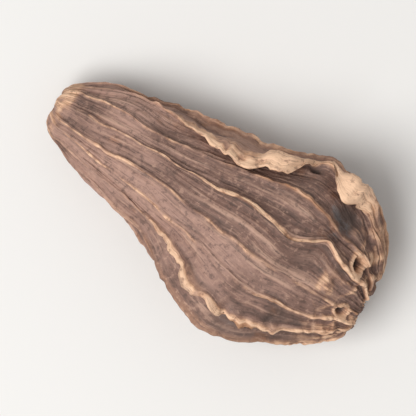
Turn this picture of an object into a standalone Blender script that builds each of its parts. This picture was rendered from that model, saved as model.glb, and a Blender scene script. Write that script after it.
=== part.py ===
"""A dried black cardamom pod, lying on its side: one grown piece, a ribbed husk with a folded wing.

The pod lies along X with its stalk end at -X and its broad apex end at +X. It is a loft of unlike
rounded sections from the stalk scar to the withered flower end. Sixteen ribs run from end to end.
Run it with blender --background --python part.py, or from Blender's text editor.
"""

import math
import random

import bmesh
import bpy
import numpy as np

MM = 0.001
RIB_COUNT = 16
RINGS = 66
SEED = 12

# Where the mesh lines lie between one rib's crest and the next: close to the crests, to keep them sharp.
STEP_PLACES = (0.0, 0.11, 0.36, 0.64, 0.89)

# The body without its ribs. Each row is a section: its distance from the stalk end, half its width, half its
# thickness, and its centre's place across the pod and above the table, all in millimetres. The first rows are
# the stump of the stalk in its dished scar and the scar's rim. The last are the withered flower's collar and
# its hollow.
SECTIONS = (
    (0.25, 0.00, 0.00, 0.70, 4.60),
    (0.30, 0.45, 0.40, 0.70, 4.60),
    (0.55, 0.62, 0.57, 0.70, 4.60),
    (0.55, 0.85, 0.78, 0.70, 4.60),
    (0.15, 1.20, 1.10, 0.70, 4.60),
    (0.12, 1.60, 1.45, 0.70, 4.60),
    (0.50, 2.20, 2.00, 0.65, 4.60),
    (1.30, 2.75, 2.55, 0.65, 4.60),
    (2.50, 3.30, 3.10, 0.75, 4.65),
    (5.00, 4.25, 4.00, 0.85, 4.95),
    (7.50, 4.85, 4.60, 0.80, 5.30),
    (10.1, 5.30, 5.05, 0.60, 5.65),
    (12.7, 5.70, 5.50, 0.40, 6.10),
    (15.3, 6.35, 5.95, 0.05, 6.50),
    (17.9, 7.20, 6.40, -0.45, 6.95),
    (20.5, 8.30, 6.75, -1.05, 7.30),
    (23.1, 9.15, 6.90, -0.95, 7.45),
    (25.7, 9.10, 6.75, -0.15, 7.45),
    (28.3, 8.30, 6.20, 0.50, 7.30),
    (30.9, 7.15, 5.35, 0.60, 7.05),
    (32.6, 5.85, 4.55, 0.20, 6.85),
    (33.8, 4.60, 3.60, -0.20, 6.70),
    (34.5, 3.45, 2.70, -0.60, 6.60),
    (34.6, 2.60, 2.10, -0.80, 6.55),
    (35.1, 2.10, 1.70, -0.80, 6.55),
    (34.7, 1.60, 1.30, -0.80, 6.55),
    (34.0, 0.90, 0.75, -0.80, 6.55),
    (33.8, 0.00, 0.00, -0.80, 6.55),
)
LENGTH = 35.1
SECTION_SQUARENESS = 2.3

# Rings lie closer where the pod narrows than along its length.
ALONG_WEIGHT = 0.9
NARROWING_WEIGHT = 1.25

# Between these distances the ribs' places are read from the body. Past them each rib keeps its place round.
RIBS_START, RIBS_END = 1.6, 33.6
FARTHEST_ACROSS = 0.97

# The ribs in order round the pod, from its +Y side over the top. A rib's path is given as it is seen from
# above, (distance from the stalk end, distance across), or as "round", (distance, degrees from +Y towards
# the top). "height" is (distance, how far the crest stands out), and "lean" is (distance, degrees that the
# crest is folded over towards the next rib). "bend" is (distance, how far the wing's outer side stands out
# where it folds over). "back" and "front" are how wide the rib's two flanks are,
# towards the rib before and the next one, as shares of the gap. "valley" is how deep the husk sags between
# the rib and the next. Distances are in millimetres.
PLAIN = ((0, 0.0), (35, 0.0))
WING = {
    "round": ((0, 24), (8, 26), (14, 22), (20, 20), (25, 12), (27, 16), (31, 22), (35, 25)),
    "height": ((0, 0.15), (3, 0.3), (8, 0.45), (12, 0.65), (18, 0.9), (22, 1.0), (23.6, 0.75), (24.8, 0.35),
               (26.2, 1.05), (28, 1.3), (30, 0.9), (32, 0.4)),
    "lean": ((0, 0), (8, 4), (12.5, 15), (15, 27), (17, 30), (19.2, 31), (20.1, 25), (21.6, 28), (22.7, 27),
             (23.6, 17), (24.6, 4), (25.6, 8), (26.5, 24), (27.9, 32), (29.4, 20), (31, 11), (35, 0)),
    "bend": ((0, 0.0), (12, 0.0), (15, 0.2), (18, 0.5), (20.3, 1.0), (23.2, 0.9), (24.7, 0.2),
             (25.8, 0.4), (26.8, 1.1), (28, 1.4), (30, 1.0), (32, 0.2), (35, 0.0)),
    "back": 0.7,
    "front": 0.10,
    "valley": 0.15,
}
UPPER_RIB = {
    "above": ((2.3, 2.9), (4.9, 3.25), (7.0, 3.15), (9.6, 3.1), (13.8, 3.5), (16.4, 3.85), (19.5, 4.4),
              (22.1, 4.8), (24.2, 5.15), (25.7, 5.15), (27.3, 4.65), (28.3, 4.35), (29.9, 4.0), (31.5, 3.6),
              (33.6, 2.6)),
    "height": ((0, 0.15), (4, 0.35), (10, 0.35), (18, 0.4), (23, 0.65), (28, 0.45), (32, 0.4)),
    "lean": PLAIN,
    "back": 0.10,
    "front": 0.14,
    "valley": 0.10,
}
WINDING_RIB = {
    "above": ((2.3, 1.3), (7.5, 1.55), (12.7, 1.65), (15.3, 1.75), (17.9, 1.9), (20.0, 2.0), (22.1, 2.05),
              (24.2, 1.8), (25.7, 1.65), (26.8, 1.75), (27.8, 2.2), (28.6, 2.7), (29.4, 2.6), (30.4, 2.1),
              (31.5, 1.6), (32.5, 1.15), (33.6, 1.0)),
    "height": ((0, 0.15), (8, 0.2), (15, 0.4), (19, 0.75), (27, 0.8), (31, 0.9), (33, 0.5)),
    "lean": ((0, 0), (14, 0), (20, 1.5), (26, 2), (28.6, 1), (31, 1), (33, 0), (35, 0)),
    "back": 0.08,
    "front": 0.07,
    "valley": 0.12,
}
MIDDLE_RIB = {
    "above": ((2.3, -0.35), (4.4, -0.65), (7.5, -0.6), (10.1, -0.4), (11.7, -0.35), (14.8, -0.9),
              (17.9, -1.35), (20.5, -1.6), (23.1, -1.85), (25.7, -2.2), (28.3, -2.1), (30.9, -1.85),
              (33.5, -1.7)),
    "height": ((0, 0.15), (6, 0.35), (12, 0.35), (16, 0.15), (23, 0.25), (28, 0.1), (33, 0.35)),
    "lean": PLAIN,
    "back": 0.12,
    "front": 0.10,
    "valley": 0.05,
}
BROAD_RIB = {
    "above": ((2.3, -1.2), (8.6, -2.1), (13.8, -2.65), (17.9, -3.55), (22.1, -4.45), (25.7, -4.95),
              (26.8, -4.65), (27.8, -4.5), (28.8, -4.55), (30.4, -4.15), (33.5, -2.75)),
    "height": ((0, 0.15), (8, 0.3), (15, 0.3), (22, 0.15), (25, 0.15), (27, 0.5), (29, 0.3), (33, 0.4)),
    "lean": PLAIN,
    "back": 0.20,
    "front": 0.12,
    "valley": 0.12,
}
LOWER_RIB = {
    "above": ((2.3, -2.0), (4.9, -2.5), (7.5, -2.95), (10.1, -3.35), (12.7, -3.7), (14.8, -3.95),
              (15.9, -4.2), (16.9, -4.7), (17.9, -5.3), (19.5, -5.95), (20.5, -6.4), (22.1, -6.85),
              (23.1, -7.1), (25.7, -7.0), (27.3, -6.6), (28.3, -6.2), (29.9, -5.6), (31.5, -4.9),
              (33.5, -3.8)),
    "height": ((0, 0.15), (8, 0.3), (13, 0.4), (15.5, 0.75), (18, 0.9), (24, 0.95), (30, 0.75), (34, 0.4)),
    "lean": ((0, 0), (14, 0), (17, 3), (19.2, 3), (20.7, 8), (21.7, 4), (23.3, 7), (26, 6), (29, 5), (33, 0)),
    "back": 0.09,
    "front": 0.07,
    "valley": 0.35,
}
SIDE_RIB = {
    "round": ((0, 166), (8, 164), (15, 162), (22, 165), (28, 169), (35, 172)),
    "height": ((0, 0.15), (8, 0.4), (14, 0.5), (24, 0.85), (30, 0.65), (34, 0.3)),
    "lean": ((0, 0), (12, 0), (20, 3), (28, 3), (34, 0)),
    "back": 0.12,
    "front": 0.10,
    "valley": 0.10,
}
SEEN_RIBS = (WING, UPPER_RIB, WINDING_RIB, MIDDLE_RIB, BROAD_RIB, LOWER_RIB, SIDE_RIB)

# The other ribs stand evenly round the side and the underside. Each drifts a little, stands higher or lower
# and may be folded over, as the drying husk took it. Their shapes are set at these distances.
HIDDEN_PATH_PLACES = (0, 12, 24, 35)
HIDDEN_HEIGHT_PLACES = (8, 15, 22, 29)
HIDDEN_LEAN_PLACES = (10, 19, 28)
HIDDEN_DRIFT = 3.0
HIDDEN_HEIGHTS = (0.35, 0.85)
HIDDEN_LEANS = (-4.0, 5.0)
HIDDEN_FLANKS = (0.08, 0.22)
HIDDEN_VALLEYS = (0.05, 0.3)
END_HEIGHT = 0.2
UNDERSIDE_HEIGHT = 0.45
UNDERSIDE = (250, 290)

# How sharply the flanks rise to a crest. The wing's bend is this far behind its crest and this wide, as
# shares of the gap to the rib before.
CREST_SHARPNESS = 1.15
BEND_PLACE, BEND_WIDTH = 0.27, 0.17

# Ribs and valleys have their full size where the pod's half width is more than the second number, and are
# gone where it is less than the first. Sections wider than the third are the outside, in order along the pod.
NO_RIBS_HALF_WIDTH = 1.5
FULL_SIZE_HALF_WIDTH = 4.4
OUTSIDE_HALF_WIDTH = 2.65

# The crests rise, fall and sway along the pod, as the husk shrank unevenly over the seeds.
CREST_WAVE_SHARE = 0.2
CREST_WAVE_LENGTHS = (4.1, 6.7, 9.3)
CREST_SWAY = 0.9

# The seeds inside push the whole husk out in broad low swellings. Each row is the length along, the count
# round, the height and the phase.
SWELLINGS = ((10.5, 3, 0.20, 0.6), (7.3, 5, 0.12, 2.1), (15.0, 2, 0.15, 4.0))

# Pits and one knob. The winding rib curls round a small hole near the apex, the wing is nicked between its
# two flaps, and the husk is hollow under the second flap. One more pit lies among the crumpled rib ends and
# one inside the lower rib. Each row is the distance from the stalk end, the degrees round, the radius, the
# depth, which is less than 0 for the knob, and the rim's height.
PITS = (
    (32.5, 73.0, 0.62, 1.20, 0.60),
    (24.6, 21.0, 0.50, 0.80, 0.0),
    (29.6, 55.0, 2.00, 0.80, 0.0),
    (33.3, 111.0, 0.45, 0.60, 0.35),
    (26.2, 134.0, 1.30, 0.30, 0.0),
    (30.9, 98.5, 0.60, -0.45, 0.0),
)
RIM_PLACE, RIM_WIDTH = 1.45, 0.40
SHARE_TRIALS = 500

# The husk's ragged edge at the flower end. Each row is how many waves go round and their height in
# millimetres. The stalk end has a share of them.
END_LENGTH = 1.6
END_WAVES = ((5, 0.14), (8, 0.10))
STALK_END_SHARE = 0.3

# The pod's weight has pressed its lowest ribs flat, this deep, so that it rests without rocking.
FLAT_DEPTH = 0.35

# Steps over which the body's slope is measured.
SLOPE_SHARE, SLOPE_DEGREES, SMALLEST_SLOPE = 0.002, 0.5, 1e-9

HUSK_COLOUR = (0.340, 0.205, 0.165, 1.0)
HUSK_ROUGHNESS = 0.72
SHARP_ANGLE = math.radians(55)


def clear_scene():
    for obj in list(bpy.data.objects):
        bpy.data.objects.remove(obj, do_unlink=True)


def curve_at(points, x):
    """The smooth curve through points, a row each with its place first, read at the places x."""
    table = np.array(points, float)
    places, values = table[:, 0], table[:, 1:]
    slopes = np.gradient(values, places, axis=0)
    x = np.clip(x, places[0], places[-1])
    left = np.clip(np.searchsorted(places, x, side="right") - 1, 0, len(places) - 2)
    span = (places[left + 1] - places[left])[:, None]
    s = (x[:, None] - places[left][:, None]) / span
    start = values[left] * (1 + 2 * s) * (1 - s) ** 2 + slopes[left] * span * s * (1 - s) ** 2
    end = values[left + 1] * s**2 * (3 - 2 * s) + slopes[left + 1] * span * s**2 * (s - 1)
    return start + end


def section_at(share):
    """Distance along, half width, half thickness, centre across and centre height at a share of the way along
    the husk's own line, from the middle of the stalk scar to the middle of the apex."""
    table = np.array(SECTIONS)
    steps = np.hypot(ALONG_WEIGHT * np.diff(table[:, 0]), NARROWING_WEIGHT * np.diff(table[:, 1]))
    places = np.concatenate([[0.0], np.cumsum(steps)])
    return curve_at(np.column_stack([places, table]), share * places[-1])


def section_by_distance(distance):
    """The same, by the distance from the stalk end, away from the two ends' hollows."""
    return curve_at([(row[0], *row) for row in SECTIONS if row[1] > OUTSIDE_HALF_WIDTH], distance)


def with_ends(points, value):
    """The points with the same value before and after them, at the pod's two ends."""
    return [(0.0, value), *points, (LENGTH, value)]


def make_ribs():
    """Every rib in order round the pod, with the phases of its waves."""
    rng = random.Random(SEED)
    first, last = SEEN_RIBS[0]["round"][0][1], SEEN_RIBS[-1]["round"][3][1]
    hidden = RIB_COUNT - len(SEEN_RIBS)
    step = (360 + first - last) / (hidden + 1)
    ribs = list(SEEN_RIBS)
    for n in range(hidden):
        angle = last + step * (n + 1)
        underside = UNDERSIDE[0] < angle < UNDERSIDE[1]
        heights = (UNDERSIDE_HEIGHT, UNDERSIDE_HEIGHT) if underside else HIDDEN_HEIGHTS
        leans = (0.0, 0.0) if underside else HIDDEN_LEANS
        ribs.append(
            {
                "round": [(d, angle + rng.uniform(-HIDDEN_DRIFT, HIDDEN_DRIFT)) for d in HIDDEN_PATH_PLACES],
                "height": with_ends([(d, rng.uniform(*heights)) for d in HIDDEN_HEIGHT_PLACES], END_HEIGHT),
                "lean": with_ends([(d, rng.uniform(*leans)) for d in HIDDEN_LEAN_PLACES], 0.0),
                "back": rng.uniform(*HIDDEN_FLANKS),
                "front": rng.uniform(*HIDDEN_FLANKS),
                "valley": rng.uniform(*HIDDEN_VALLEYS),
            }
        )
    for rib in ribs:
        rib["phases"] = [rng.uniform(0, math.tau) for _ in CREST_WAVE_LENGTHS]
    return ribs


RIBS = make_ribs()


def wave(distance, phases):
    """A seeded wave along the pod, between -1 and 1."""
    waves = [np.sin(math.tau * distance / length + p) for length, p in zip(CREST_WAVE_LENGTHS, phases)]
    return sum(waves) / len(waves)


def crest_angle(k, distance):
    """Degrees round of rib k's foot. Rib 16 is rib 0 again, one turn on."""
    rib = RIBS[k % RIB_COUNT]
    if "above" in rib:
        within = np.clip(distance, RIBS_START, RIBS_END)
        _, half_width, _, centre, _ = section_by_distance(within).T
        across = (curve_at(rib["above"], within)[:, 0] - centre) / half_width
        across = np.clip(across, -FARTHEST_ACROSS, FARTHEST_ACROSS)
        angle = np.degrees(np.arccos(np.sign(across) * np.abs(across) ** (SECTION_SQUARENESS / 2)))
    else:
        angle = curve_at(rib["round"], distance)[:, 0]
    return angle + CREST_SWAY * wave(distance, rib["phases"][::-1]) + 360 * (k // RIB_COUNT)


def crest_height(k, distance):
    rib = RIBS[k % RIB_COUNT]
    return curve_at(rib["height"], distance)[:, 0] * (1 + CREST_WAVE_SHARE * wave(distance, rib["phases"]))


def crest_lean(k, distance):
    return curve_at(RIBS[k % RIB_COUNT]["lean"], distance)[:, 0]


def wing_bend(distance):
    """How far the wing's outer side swells out where it folds over."""
    return curve_at(WING["bend"], distance)[:, 0]


def per_rib(function, rib, distance):
    """function(k, distance) for points that belong to different ribs."""
    values = np.zeros(len(distance))
    for k in np.unique(rib):
        mine = rib == k
        values[mine] = function(int(k), distance[mine])
    return values


def rising(share):
    """From 0 to 1 without a corner at either end."""
    share = np.clip(share, 0, 1)
    return share * share * (3 - 2 * share)


def rounded(value):
    """A cosine or sine pushed out, so that the section is a little squarer than an ellipse."""
    return np.sign(value) * np.abs(value) ** (2 / SECTION_SQUARENESS)


def body_point(share, degrees):
    """A point of the body without ribs."""
    d, half_width, half_thickness, across, above = section_at(share).T
    angle = np.radians(degrees)
    return np.column_stack(
        [d, across + half_width * rounded(np.cos(angle)), above + half_thickness * rounded(np.sin(angle))]
    )


def outward(share, degrees):
    """The unit vector that points out of the body, from the body's slope along and round."""
    ahead = body_point(np.clip(share + SLOPE_SHARE, 0, 1), degrees)
    behind = body_point(np.clip(share - SLOPE_SHARE, 0, 1), degrees)
    further = body_point(share, degrees + SLOPE_DEGREES)
    nearer = body_point(share, degrees - SLOPE_DEGREES)
    out = np.cross(further - nearer, ahead - behind)
    return out / np.maximum(np.linalg.norm(out, axis=1, keepdims=True), SMALLEST_SLOPE)


def share_of(distance):
    """The share of the husk's line at a distance from the stalk end, on the outside of the pod."""
    shares = np.linspace(0, 1, SHARE_TRIALS)
    there, half_width = section_at(shares)[:, :2].T
    miss = np.abs(there - distance) + LENGTH * (half_width < OUTSIDE_HALF_WIDTH)
    return shares[[np.argmin(miss)]]


def pits(body):
    """How far the pits and their rims move the husk in or out."""
    height = np.zeros(len(body))
    for distance, degrees, radius, depth, rim in PITS:
        centre = body_point(share_of(distance), np.array([degrees]))
        reach = np.linalg.norm(body - centre, axis=1) / radius
        height += rim * np.exp(-(((reach - RIM_PLACE) / RIM_WIDTH) ** 2)) - depth * np.exp(-(reach**2))
    return height


def swellings(distance, degrees):
    angle = np.radians(degrees)
    return sum(
        high * np.sin(math.tau * distance / length + phase) * np.cos(count * angle + phase)
        for length, count, high, phase in SWELLINGS
    )


def ragged_ends(distance, degrees):
    """How far the two end rims stand out or back along the pod."""
    to_end = np.minimum(distance, LENGTH - distance) / END_LENGTH
    angle = np.radians(degrees)
    share = np.where(distance < LENGTH / 2, STALK_END_SHARE, 1.0)
    waves = sum(high * np.sin(count * angle + count) for count, high in END_WAVES)
    return share * np.exp(-(to_end**2)) * waves


def husk_point(share, turn):
    """A point of the husk in millimetres. turn counts ribs: 0 is the first crest, 0.5 halfway to the next."""
    distance, half_width = section_at(share)[:, :2].T
    rib = np.floor(turn).astype(int) % RIB_COUNT
    place = turn - np.floor(turn)
    front = np.array([r["front"] for r in RIBS])[rib]
    back = np.array([r["back"] for r in RIBS])[(rib + 1) % RIB_COUNT]
    here, there = per_rib(crest_angle, rib, distance), per_rib(crest_angle, rib + 1, distance)
    this_rib = np.exp(-((place / front) ** CREST_SHARPNESS))
    next_rib = np.exp(-(((1 - place) / back) ** CREST_SHARPNESS))

    lean = per_rib(crest_lean, rib, distance) * this_rib
    lean += per_rib(crest_lean, rib + 1, distance) * next_rib
    degrees = here + (there - here) * place + lean
    height = per_rib(crest_height, rib, distance) * this_rib
    height += per_rib(crest_height, rib + 1, distance) * next_rib
    on_bend = (rib == RIB_COUNT - 1) * np.exp(-(((1 - place - BEND_PLACE) / BEND_WIDTH) ** 2))
    height += wing_bend(distance) * on_bend
    height -= np.array([r["valley"] for r in RIBS])[rib] * 4 * place * (1 - place)
    height += swellings(distance, degrees)
    height *= rising((half_width - NO_RIBS_HALF_WIDTH) / (FULL_SIZE_HALF_WIDTH - NO_RIBS_HALF_WIDTH))
    body = body_point(share, degrees)
    height += pits(body)
    points = body + outward(share, degrees) * height[:, None]
    points[:, 0] += ragged_ends(distance, degrees)
    return points


def husk_material():
    material = bpy.data.materials.new("dry_husk")
    material.use_nodes = True
    shader = material.node_tree.nodes["Principled BSDF"]
    shader.inputs["Base Color"].default_value = HUSK_COLOUR
    shader.inputs["Roughness"].default_value = HUSK_ROUGHNESS
    shader.inputs["Metallic"].default_value = 0.0
    return material


def make_pod(collection):
    """A sphere's mesh, whose rings and lines become the pod's sections and ribs."""
    lines = RIB_COUNT * len(STEP_PLACES)
    ball = bmesh.new()
    bmesh.ops.create_uvsphere(ball, u_segments=lines, v_segments=RINGS, radius=1.0)
    corners = np.array([v.co[:] for v in ball.verts])
    share = np.arccos(np.clip(corners[:, 2], -1, 1)) / math.pi
    line = np.round(np.arctan2(corners[:, 1], corners[:, 0]) / math.tau * lines).astype(int) % lines
    turn = line // len(STEP_PLACES) + np.array(STEP_PLACES)[line % len(STEP_PLACES)]

    points = husk_point(share, turn)
    # The table takes the lowest ribs: what would reach below it is flat on it.
    table = points[:, 2].min() + FLAT_DEPTH
    points[:, 2] = np.maximum(points[:, 2], table) - table
    points[:, :2] -= (points[:, :2].min(axis=0) + points[:, :2].max(axis=0)) / 2
    for corner, point in zip(ball.verts, points * MM):
        corner.co = point
    if ball.calc_volume(signed=True) < 0:
        bmesh.ops.reverse_faces(ball, faces=ball.faces)

    mesh = bpy.data.meshes.new("pod")
    ball.to_mesh(mesh)
    ball.free()
    mesh.shade_smooth()
    mesh.set_sharp_from_angle(angle=SHARP_ANGLE)
    mesh.materials.append(husk_material())
    pod = bpy.data.objects.new("pod", mesh)
    collection.objects.link(pod)


def main():
    clear_scene()
    collection = bpy.data.collections.new("black_cardamom_pod")
    bpy.context.scene.collection.children.link(collection)
    make_pod(collection)


main()
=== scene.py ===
"""A dried black cardamom pod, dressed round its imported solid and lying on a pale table.

The solid's own formula is worked out again here with far more points, and the husk's fibres, wrinkles, frayed
crests and crumpled flower end are added to it.
"""

import math
import random

import bmesh
import bpy
import numpy as np
from mathutils import Euler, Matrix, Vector, noise


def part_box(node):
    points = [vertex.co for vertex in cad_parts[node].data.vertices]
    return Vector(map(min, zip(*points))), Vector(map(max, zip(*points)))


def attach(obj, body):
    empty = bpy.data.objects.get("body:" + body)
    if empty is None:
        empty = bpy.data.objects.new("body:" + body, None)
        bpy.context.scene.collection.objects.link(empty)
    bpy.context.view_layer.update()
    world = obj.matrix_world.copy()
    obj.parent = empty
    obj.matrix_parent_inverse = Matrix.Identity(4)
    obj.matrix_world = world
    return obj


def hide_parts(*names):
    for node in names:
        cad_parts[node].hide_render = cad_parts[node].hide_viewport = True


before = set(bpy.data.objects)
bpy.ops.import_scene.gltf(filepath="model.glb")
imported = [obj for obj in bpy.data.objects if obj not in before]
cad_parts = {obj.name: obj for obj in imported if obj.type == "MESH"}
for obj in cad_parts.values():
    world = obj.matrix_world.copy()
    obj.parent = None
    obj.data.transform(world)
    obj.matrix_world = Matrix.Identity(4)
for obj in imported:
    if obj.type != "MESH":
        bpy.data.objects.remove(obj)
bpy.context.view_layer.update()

# The husk. One grown piece of dry, fibrous, mauve-brown skin, shrunk over the seeds into sixteen wavy ribs. It
# runs from the stump of the stalk in its dished scar to the withered collar of the flower, and one rib is a wing
# that has folded over. It lies on its lowest ribs.

MM = 0.001
RIB_COUNT = 16
SEED = 12

# The mesh has this many rings from end to end. Half of its lines between two crests follow, as shares of the gap:
# they are close together where the crest is.
RINGS = 195
HALF_PLACES = (0.0, 0.011, 0.023, 0.036, 0.051, 0.069, 0.090, 0.115, 0.144, 0.178, 0.217, 0.260, 0.306, 0.354,
               0.402, 0.451)
STEP_PLACES = (*HALF_PLACES, 0.5, *(1 - place for place in HALF_PLACES[:0:-1]))
LINES = RIB_COUNT * len(STEP_PLACES)

# Distance from the stalk end, half width, half thickness, centre across and centre height, in millimetres.
SECTIONS = (
    (0.25, 0.00, 0.00, 0.70, 4.60),
    (0.30, 0.45, 0.40, 0.70, 4.60),
    (0.55, 0.62, 0.57, 0.70, 4.60),
    (0.55, 0.85, 0.78, 0.70, 4.60),
    (0.15, 1.20, 1.10, 0.70, 4.60),
    (0.12, 1.60, 1.45, 0.70, 4.60),
    (0.50, 2.20, 2.00, 0.65, 4.60),
    (1.30, 2.75, 2.55, 0.65, 4.60),
    (2.50, 3.30, 3.10, 0.75, 4.65),
    (5.00, 4.25, 4.00, 0.85, 4.95),
    (7.50, 4.85, 4.60, 0.80, 5.30),
    (10.1, 5.30, 5.05, 0.60, 5.65),
    (12.7, 5.70, 5.50, 0.40, 6.10),
    (15.3, 6.35, 5.95, 0.05, 6.50),
    (17.9, 7.20, 6.40, -0.45, 6.95),
    (20.5, 8.30, 6.75, -1.05, 7.30),
    (23.1, 9.15, 6.90, -0.95, 7.45),
    (25.7, 9.10, 6.75, -0.15, 7.45),
    (28.3, 8.30, 6.20, 0.50, 7.30),
    (30.9, 7.15, 5.35, 0.60, 7.05),
    (32.6, 5.85, 4.55, 0.20, 6.85),
    (33.8, 4.60, 3.60, -0.20, 6.70),
    (34.5, 3.45, 2.70, -0.60, 6.60),
    (34.6, 2.60, 2.10, -0.80, 6.55),
    (35.1, 2.10, 1.70, -0.80, 6.55),
    (34.7, 1.60, 1.30, -0.80, 6.55),
    (34.0, 0.90, 0.75, -0.80, 6.55),
    (33.8, 0.00, 0.00, -0.80, 6.55),
)
LENGTH = 35.1
# A section of squareness 2 would be an ellipse.
SECTION_SQUARENESS = 2.3
# How much a step along and a step in width count for the share of the husk's line.
ALONG_WEIGHT = 0.9
NARROWING_WEIGHT = 1.25
# A path seen from above is read between these distances, and no farther across than this share of the half width.
RIBS_START, RIBS_END = 1.6, 33.6
FARTHEST_ACROSS = 0.97

# The seven ribs that face up, each by its path as seen from above or its angle round, its height, and its lean in
# degrees. The flanks before and after it, back and front, are shares of the gaps there. The gap after it sinks by
# its valley, in millimetres, and the wing's outer side swells out by its bend.
PLAIN = ((0, 0.0), (35, 0.0))
WING = {
    "round": ((0, 24), (8, 26), (14, 22), (20, 20), (25, 12), (27, 16), (31, 22), (35, 25)),
    "height": ((0, 0.15), (3, 0.3), (8, 0.45), (12, 0.65), (18, 0.9), (22, 1.0), (23.6, 0.75), (24.8, 0.35),
               (26.2, 1.05), (28, 1.3), (30, 0.9), (32, 0.4)),
    "lean": ((0, 0), (8, 4), (12.5, 15), (15, 27), (17, 30), (19.2, 31), (20.1, 25), (21.6, 28), (22.7, 27),
             (23.6, 17), (24.6, 4), (25.6, 8), (26.5, 24), (27.9, 32), (29.4, 20), (31, 11), (35, 0)),
    "bend": ((0, 0.0), (12, 0.0), (15, 0.2), (18, 0.5), (20.3, 1.0), (23.2, 0.9), (24.7, 0.2), (25.8, 0.4),
             (26.8, 1.1), (28, 1.4), (30, 1.0), (32, 0.2), (35, 0.0)),
    "back": 0.7,
    "front": 0.10,
    "valley": 0.15,
}
UPPER_RIB = {
    "above": ((2.3, 2.9), (4.9, 3.25), (7.0, 3.15), (9.6, 3.1), (13.8, 3.5), (16.4, 3.85), (19.5, 4.4),
              (22.1, 4.8), (24.2, 5.15), (25.7, 5.15), (27.3, 4.65), (28.3, 4.35), (29.9, 4.0), (31.5, 3.6),
              (33.6, 2.6)),
    "height": ((0, 0.15), (4, 0.35), (10, 0.35), (18, 0.4), (23, 0.65), (28, 0.45), (32, 0.4)),
    "lean": PLAIN,
    "back": 0.10,
    "front": 0.14,
    "valley": 0.10,
}
WINDING_RIB = {
    "above": ((2.3, 1.3), (7.5, 1.55), (12.7, 1.65), (15.3, 1.75), (17.9, 1.9), (20.0, 2.0), (22.1, 2.05),
              (24.2, 1.8), (25.7, 1.65), (26.8, 1.75), (27.8, 2.2), (28.6, 2.7), (29.4, 2.6), (30.4, 2.1),
              (31.5, 1.6), (32.5, 1.15), (33.6, 1.0)),
    "height": ((0, 0.15), (8, 0.2), (15, 0.4), (19, 0.75), (27, 0.8), (31, 0.9), (33, 0.5)),
    "lean": ((0, 0), (14, 0), (20, 1.5), (26, 2), (28.6, 1), (31, 1), (33, 0), (35, 0)),
    "back": 0.08,
    "front": 0.07,
    "valley": 0.12,
}
MIDDLE_RIB = {
    "above": ((2.3, -0.35), (4.4, -0.65), (7.5, -0.6), (10.1, -0.4), (11.7, -0.35), (14.8, -0.9), (17.9, -1.35),
              (20.5, -1.6), (23.1, -1.85), (25.7, -2.2), (28.3, -2.1), (30.9, -1.85), (33.5, -1.7)),
    "height": ((0, 0.15), (6, 0.35), (12, 0.35), (16, 0.15), (23, 0.25), (28, 0.1), (33, 0.35)),
    "lean": PLAIN,
    "back": 0.12,
    "front": 0.10,
    "valley": 0.05,
}
BROAD_RIB = {
    "above": ((2.3, -1.2), (8.6, -2.1), (13.8, -2.65), (17.9, -3.55), (22.1, -4.45), (25.7, -4.95), (26.8, -4.65),
              (27.8, -4.5), (28.8, -4.55), (30.4, -4.15), (33.5, -2.75)),
    "height": ((0, 0.15), (8, 0.3), (15, 0.3), (22, 0.15), (25, 0.15), (27, 0.5), (29, 0.3), (33, 0.4)),
    "lean": PLAIN,
    "back": 0.20,
    "front": 0.12,
    "valley": 0.12,
}
LOWER_RIB = {
    "above": ((2.3, -2.0), (4.9, -2.5), (7.5, -2.95), (10.1, -3.35), (12.7, -3.7), (14.8, -3.95), (15.9, -4.2),
              (16.9, -4.7), (17.9, -5.3), (19.5, -5.95), (20.5, -6.4), (22.1, -6.85), (23.1, -7.1),
              (25.7, -7.0), (27.3, -6.6), (28.3, -6.2), (29.9, -5.6), (31.5, -4.9), (33.5, -3.8)),
    "height": ((0, 0.15), (8, 0.3), (13, 0.4), (15.5, 0.75), (18, 0.9), (24, 0.95), (30, 0.75), (34, 0.4)),
    "lean": ((0, 0), (14, 0), (17, 3), (19.2, 3), (20.7, 8), (21.7, 4), (23.3, 7), (26, 6), (29, 5), (33, 0)),
    "back": 0.09,
    "front": 0.07,
    "valley": 0.35,
}
SIDE_RIB = {
    "round": ((0, 166), (8, 164), (15, 162), (22, 165), (28, 169), (35, 172)),
    "height": ((0, 0.15), (8, 0.4), (14, 0.5), (24, 0.85), (30, 0.65), (34, 0.3)),
    "lean": ((0, 0), (12, 0), (20, 3), (28, 3), (34, 0)),
    "back": 0.12,
    "front": 0.10,
    "valley": 0.10,
}
SEEN_RIBS = (WING, UPPER_RIB, WINDING_RIB, MIDDLE_RIB, BROAD_RIB, LOWER_RIB, SIDE_RIB)

# The nine ribs round the side and the underside.
HIDDEN_PATH_PLACES = (0, 12, 24, 35)
HIDDEN_HEIGHT_PLACES = (8, 15, 22, 29)
HIDDEN_LEAN_PLACES = (10, 19, 28)
HIDDEN_DRIFT = 3.0
HIDDEN_HEIGHTS = (0.35, 0.85)
HIDDEN_LEANS = (-4.0, 5.0)
HIDDEN_FLANKS = (0.08, 0.22)
HIDDEN_VALLEYS = (0.05, 0.3)
END_HEIGHT = 0.2
UNDERSIDE_HEIGHT = 0.45
UNDERSIDE = (250, 290)

# How sharp the crests are, and where the wing's bend lies in its gap, from the wing's edge, and how wide it is.
CREST_SHARPNESS = 1.15
BEND_PLACE, BEND_WIDTH = 0.27, 0.17
# The ribs grow between the first two half widths. What is narrower than the third lies inside the end scars.
NO_RIBS_HALF_WIDTH = 1.5
FULL_SIZE_HALF_WIDTH = 4.4
OUTSIDE_HALF_WIDTH = 2.65
# The crests wave up and down by this share, and to the sides by these degrees, at three lengths together.
CREST_WAVE_SHARE = 0.2
CREST_WAVE_LENGTHS = (4.1, 6.7, 9.3)
CREST_SWAY = 0.9
# Low swellings of the whole body: the length along, the count round, the height and the phase.
SWELLINGS = ((10.5, 3, 0.20, 0.6), (7.3, 5, 0.12, 2.1), (15.0, 2, 0.15, 4.0))

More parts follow.
